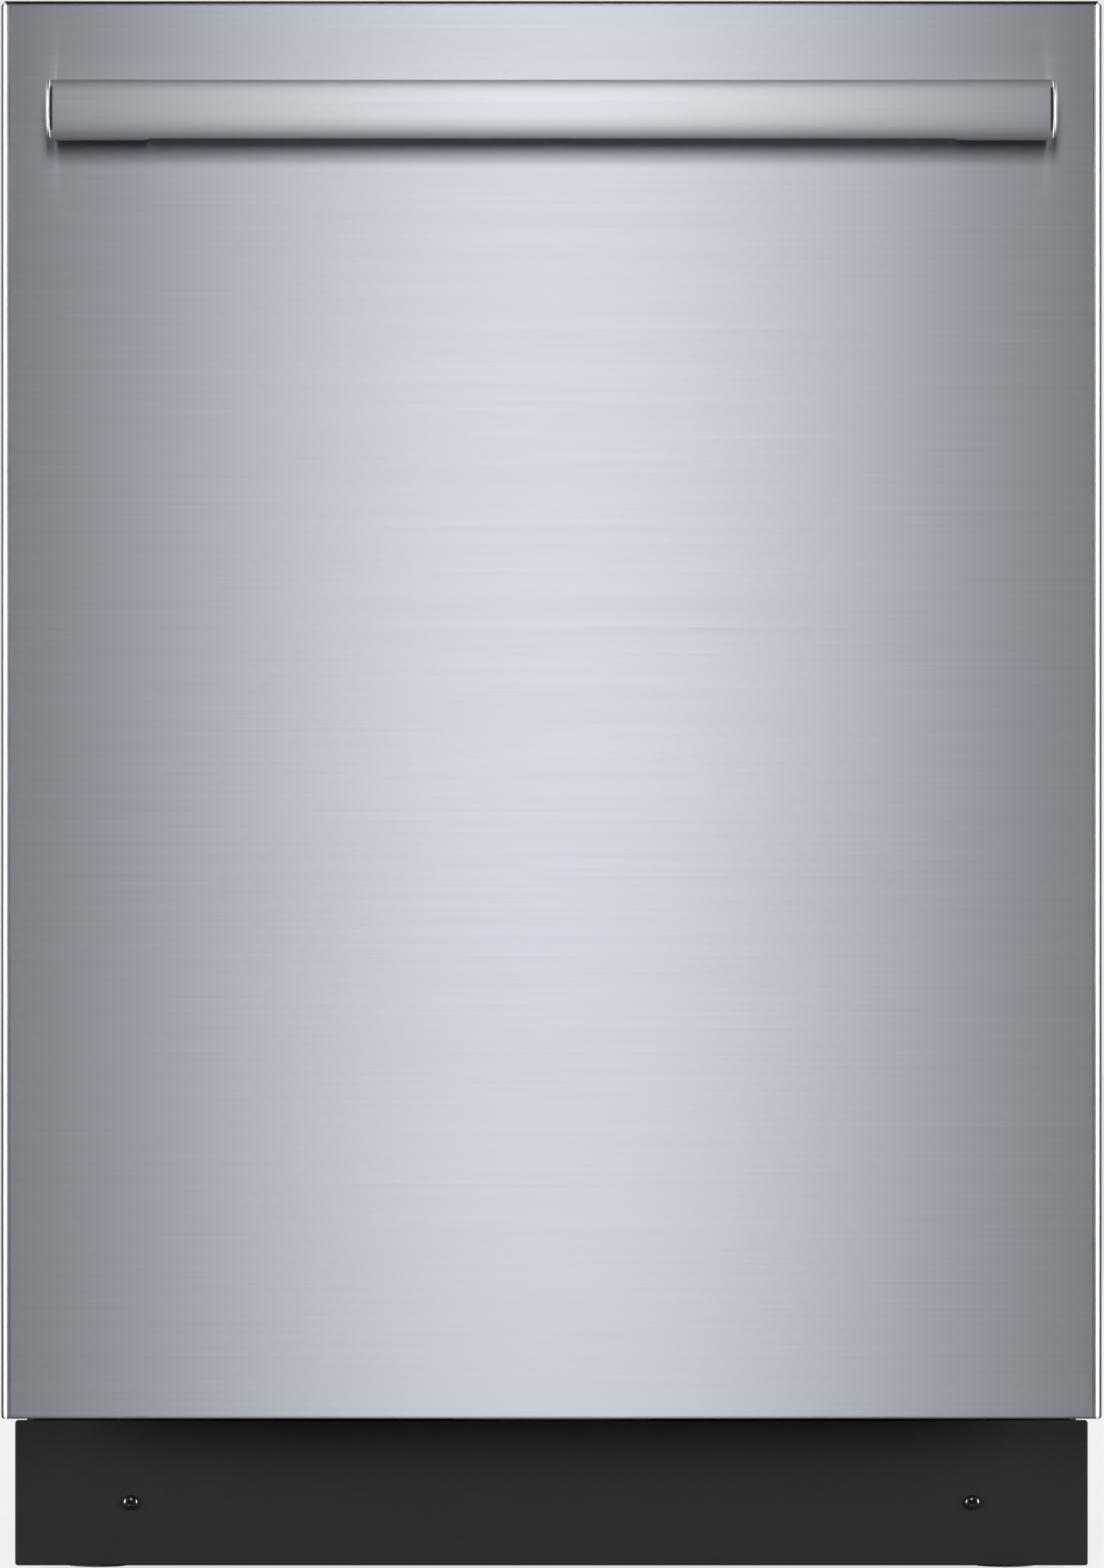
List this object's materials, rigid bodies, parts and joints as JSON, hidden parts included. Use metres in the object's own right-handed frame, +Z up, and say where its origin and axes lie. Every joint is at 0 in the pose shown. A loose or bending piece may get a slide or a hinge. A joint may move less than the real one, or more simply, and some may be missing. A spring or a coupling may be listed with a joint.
{
  "type": "built-in dishwasher",
  "caption": "Built-in dishwasher with a drop-down stainless door, bar handle, hidden top controls, sliding racks, spray arms and a recessed black toe panel.",
  "frame": {"origin": "on the floor under the middle of the bounding box, with the feet wound in and the door shut", "axes": "+X to the right seen from the front, +Y from the door towards the back, +Z up"},
  "size_m": [0.5986, 0.646, 0.856],
  "materials": {
    "brushed_steel": "horizontal brushed stainless steel with a satin sheen",
    "bright_steel": "bright polished steel edge",
    "tub_steel": "smooth stainless steel sheet",
    "zinc_plate": "zinc plated steel",
    "black_plastic": "black moulded plastic",
    "toe_black": "satin black painted steel",
    "black_screw": "glossy black oxide",
    "grey_plastic": "grey moulded plastic",
    "rubber": "soft black rubber",
    "felt": "grey pressed felt sound blanket",
    "rack_nylon": "nylon coated steel wire"
  },
  "bodies": {
    "cabinet": {"tub": "tub_steel", "tub_gasket": "rubber", "insulation_blanket": "felt", "base_pan": "black_plastic", "toe_kick": "toe_black", "toe_kick_screw_left": "black_screw", "toe_kick_screw_right": "black_screw", "counter_bracket_left": "zinc_plate", "counter_bracket_right": "zinc_plate", "hinge_bracket_left": "zinc_plate", "hinge_bracket_right": "zinc_plate", "strike_plate": "zinc_plate", "sump": "grey_plastic", "circulation_pump": "black_plastic", "drain_pump": "black_plastic", "inlet_valve": "grey_plastic", "junction_box": "zinc_plate", "water_feed_tube": "grey_plastic", "upper_rail_left": "tub_steel", "upper_rail_right": "tub_steel", "door_spring_left": "zinc_plate", "door_spring_right": "zinc_plate"},
    "door": {"door_outer_panel": "brushed_steel", "handle_bar": "brushed_steel", "handle_end_cap_left": "bright_steel", "handle_end_cap_right": "bright_steel", "handle_post_left": "brushed_steel", "handle_post_right": "brushed_steel", "door_inner_liner": "tub_steel", "control_panel": "black_plastic", "detergent_dispenser": "grey_plastic", "door_bottom_seal": "rubber", "hinge_arm_left": "zinc_plate", "hinge_arm_right": "zinc_plate"},
    "door_latch": {"latch_catch": "zinc_plate"},
    "dispenser_lid": {"dispenser_lid": "grey_plastic"},
    "rinse_cap": {"rinse_aid_cap": "grey_plastic"},
    "power_key": {"power_button": "grey_plastic"},
    "program_key_1": {"program_button_1": "grey_plastic"},
    "program_key_2": {"program_button_2": "grey_plastic"},
    "start_key": {"start_button": "grey_plastic"},
    "lower_arm": {"lower_spray_arm": "grey_plastic"},
    "upper_arm": {"upper_spray_arm": "grey_plastic"},
    "top_arm": {"top_spray_arm": "grey_plastic"},
    "filter": {"filter_cylinder": "grey_plastic"},
    "lower_basket": {"lower_rack": "rack_nylon"},
    "tines": {"fold_down_tines": "rack_nylon"},
    "cutlery_basket": {"silverware_basket": "grey_plastic"},
    "upper_basket": {"upper_rack": "rack_nylon"},
    "rail_slides": {"upper_rail_slide_left": "zinc_plate", "upper_rail_slide_right": "zinc_plate"},
    "third_rack": {"cutlery_tray": "rack_nylon"},
    "front_wheel_left": {"rack_wheel_front_left": "grey_plastic"},
    "front_foot_left": {"front_foot_left": "grey_plastic"},
    "front_wheel_right": {"rack_wheel_front_right": "grey_plastic"},
    "front_foot_right": {"front_foot_right": "grey_plastic"},
    "rear_wheel_left": {"rack_wheel_rear_left": "grey_plastic"},
    "rear_foot_left": {"rear_foot_left": "grey_plastic"},
    "rear_wheel_right": {"rack_wheel_rear_right": "grey_plastic"},
    "rear_foot_right": {"rear_foot_right": "grey_plastic"}
  },
  "joints": [
    {"name": "door_hinge", "type": "hinge", "parent": "cabinet", "child": "door", "pos_m": [0, -0.25, 0.12], "axis": [1, 0, 0], "range_deg": [0, 90], "stiffness_Nm_per_rad": 30},
    {"name": "latch_pivot", "type": "hinge", "parent": "door", "child": "door_latch", "pos_m": [0, -0.246, 0.844], "axis": [1, 0, 0], "range_deg": [-10, 0], "stiffness_Nm_per_rad": 0.05},
    {"name": "dispenser_lid_slide", "type": "slide", "parent": "door", "child": "dispenser_lid", "axis": [0, 0, -1], "range_m": [0, 0.055]},
    {"name": "rinse_cap_turn", "type": "hinge", "parent": "door", "child": "rinse_cap", "pos_m": [0.117, -0.23, 0.515], "axis": [0, 1, 0], "range_deg": [0, 90]},
    {"name": "power_key_press", "type": "slide", "parent": "door", "child": "power_key", "axis": [0, 0, -1], "range_m": [0, 0.0015], "stiffness_N_per_m": 800},
    {"name": "program_key_1_press", "type": "slide", "parent": "door", "child": "program_key_1", "axis": [0, 0, -1], "range_m": [0, 0.0015], "stiffness_N_per_m": 800},
    {"name": "program_key_2_press", "type": "slide", "parent": "door", "child": "program_key_2", "axis": [0, 0, -1], "range_m": [0, 0.0015], "stiffness_N_per_m": 800},
    {"name": "start_key_press", "type": "slide", "parent": "door", "child": "start_key", "axis": [0, 0, -1], "range_m": [0, 0.0015], "stiffness_N_per_m": 800},
    {"name": "lower_arm_spin", "type": "hinge", "parent": "cabinet", "child": "lower_arm", "pos_m": [0, 0.03, 0.158], "axis": [0, 0, 1], "continuous": true},
    {"name": "upper_arm_spin", "type": "hinge", "parent": "upper_basket", "child": "upper_arm", "pos_m": [0, 0.03, 0.456], "axis": [0, 0, 1], "continuous": true},
    {"name": "top_arm_spin", "type": "hinge", "parent": "cabinet", "child": "top_arm", "pos_m": [0, 0.03, 0.796], "axis": [0, 0, 1], "continuous": true},
    {"name": "filter_twist", "type": "hinge", "parent": "cabinet", "child": "filter", "pos_m": [0, -0.006, 0.1], "axis": [0, 0, 1], "range_deg": [0, 90]},
    {"name": "lower_rack_slide", "type": "slide", "parent": "cabinet", "child": "lower_basket", "axis": [0, -1, 0], "range_m": [0, 0.5]},
    {"name": "upper_rack_slide", "type": "slide", "parent": "cabinet", "child": "upper_basket", "axis": [0, -1, 0], "range_m": [0, 0.5]},
    {"name": "rail_slide", "type": "slide", "parent": "cabinet", "child": "rail_slides", "axis": [0, -1, 0], "range_m": [0, 0.25]},
    {"name": "cutlery_tray_slide", "type": "slide", "parent": "cabinet", "child": "third_rack", "axis": [0, -1, 0], "range_m": [0, 0.5]},
    {"name": "tine_fold", "type": "hinge", "parent": "lower_basket", "child": "tines", "pos_m": [0, -0.06, 0.184], "axis": [1, 0, 0], "range_deg": [-80, 0]},
    {"name": "cutlery_basket_lift", "type": "slide", "parent": "lower_basket", "child": "cutlery_basket", "axis": [0, 0, 1], "range_m": [0, 0.12]},
    {"name": "front_wheel_left_roll", "type": "hinge", "parent": "lower_basket", "child": "front_wheel_left", "pos_m": [-0.262, -0.12, 0.1563], "axis": [1, 0, 0], "range_deg": [0, 1790]},
    {"name": "front_foot_left_screw", "type": "slide", "parent": "cabinet", "child": "front_foot_left", "axis": [0, 0, -1], "range_m": [0, 0.038]},
    {"name": "front_wheel_right_roll", "type": "hinge", "parent": "lower_basket", "child": "front_wheel_right", "pos_m": [0.262, -0.12, 0.1563], "axis": [1, 0, 0], "range_deg": [0, 1790]},
    {"name": "front_foot_right_screw", "type": "slide", "parent": "cabinet", "child": "front_foot_right", "axis": [0, 0, -1], "range_m": [0, 0.038]},
    {"name": "rear_wheel_left_roll", "type": "hinge", "parent": "lower_basket", "child": "rear_wheel_left", "pos_m": [-0.262, 0.19, 0.1563], "axis": [1, 0, 0], "range_deg": [0, 1790]},
    {"name": "rear_foot_left_screw", "type": "slide", "parent": "cabinet", "child": "rear_foot_left", "axis": [0, 0, -1], "range_m": [0, 0.038]},
    {"name": "rear_wheel_right_roll", "type": "hinge", "parent": "lower_basket", "child": "rear_wheel_right", "pos_m": [0.262, 0.19, 0.1563], "axis": [1, 0, 0], "range_deg": [0, 1790]},
    {"name": "rear_foot_right_screw", "type": "slide", "parent": "cabinet", "child": "rear_foot_right", "axis": [0, 0, -1], "range_m": [0, 0.038]}
  ],
  "couplings": [
    {"joint": "lower_rack_slide", "follows": "door_hinge", "m_per_rad": 0.084},
    {"joint": "upper_rack_slide", "follows": "door_hinge", "m_per_rad": 0.318},
    {"joint": "rail_slide", "follows": "door_hinge", "m_per_rad": 0.159},
    {"joint": "cutlery_tray_slide", "follows": "door_hinge", "m_per_rad": 0.318},
    {"joint": "front_wheel_left_roll", "follows": "door_hinge", "ratio": 5.25},
    {"joint": "front_wheel_right_roll", "follows": "door_hinge", "ratio": 5.25},
    {"joint": "rear_wheel_left_roll", "follows": "door_hinge", "ratio": 5.25},
    {"joint": "rear_wheel_right_roll", "follows": "door_hinge", "ratio": 5.25}
  ]
}
